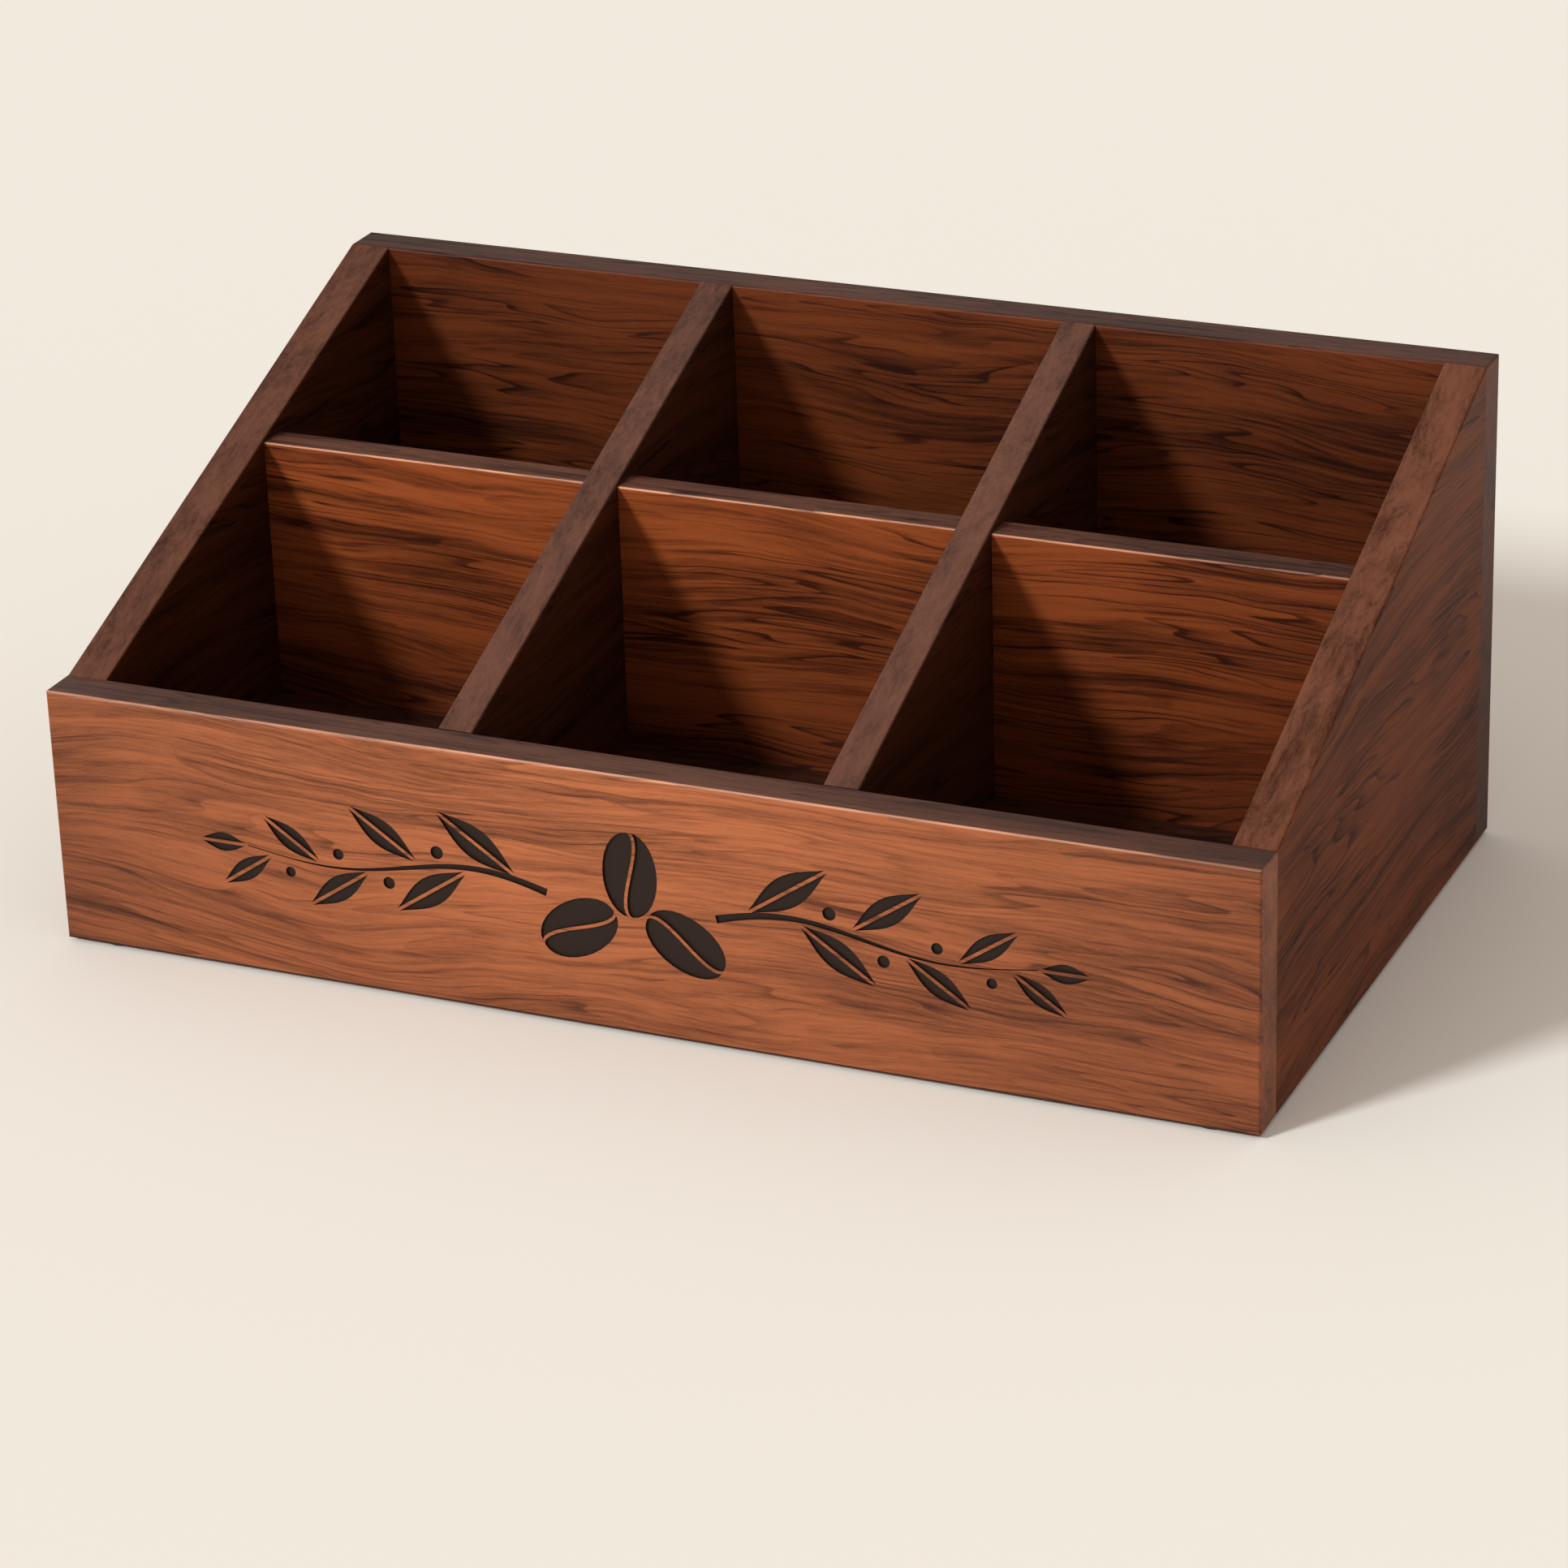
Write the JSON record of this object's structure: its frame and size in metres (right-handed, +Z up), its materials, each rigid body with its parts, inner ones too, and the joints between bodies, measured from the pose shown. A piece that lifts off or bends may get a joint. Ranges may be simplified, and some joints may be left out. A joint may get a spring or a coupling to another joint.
{
  "type": "coffee station organizer",
  "caption": "Walnut countertop caddy with a low front panel, a tall back panel and sloping sides and dividers that part it into open compartments for coffee and tea supplies.",
  "frame": {"origin": "on the table under the middle of the caddy, at the bottom centre of its box", "axes": "+X to the right along the front panel, +Y from the front panel to the back panel, +Z up"},
  "size_m": [0.341, 0.197, 0.141],
  "materials": {
    "walnut_front": "oiled walnut, face grain, with a burnt engraving",
    "walnut_case": "oiled walnut, face grain",
    "walnut_divider": "oiled walnut, face grain",
    "walnut_floor": "oiled walnut, face grain",
    "beech_dowel": "plain beech, glued",
    "felt_pad": "pressed dark brown felt"
  },
  "bodies": {
    "root": {"front_panel": "walnut_front", "back_panel": "walnut_case", "left_side": "walnut_case", "right_side": "walnut_case", "floor_panel": "walnut_floor", "left_divider": "walnut_divider", "right_divider": "walnut_divider", "cross_divider": "walnut_divider", "front_left_dowels": "beech_dowel", "front_right_dowels": "beech_dowel", "back_left_dowels": "beech_dowel", "back_right_dowels": "beech_dowel", "front_left_pad": "felt_pad", "front_right_pad": "felt_pad", "back_left_pad": "felt_pad", "back_right_pad": "felt_pad"}
  },
  "joints": []
}
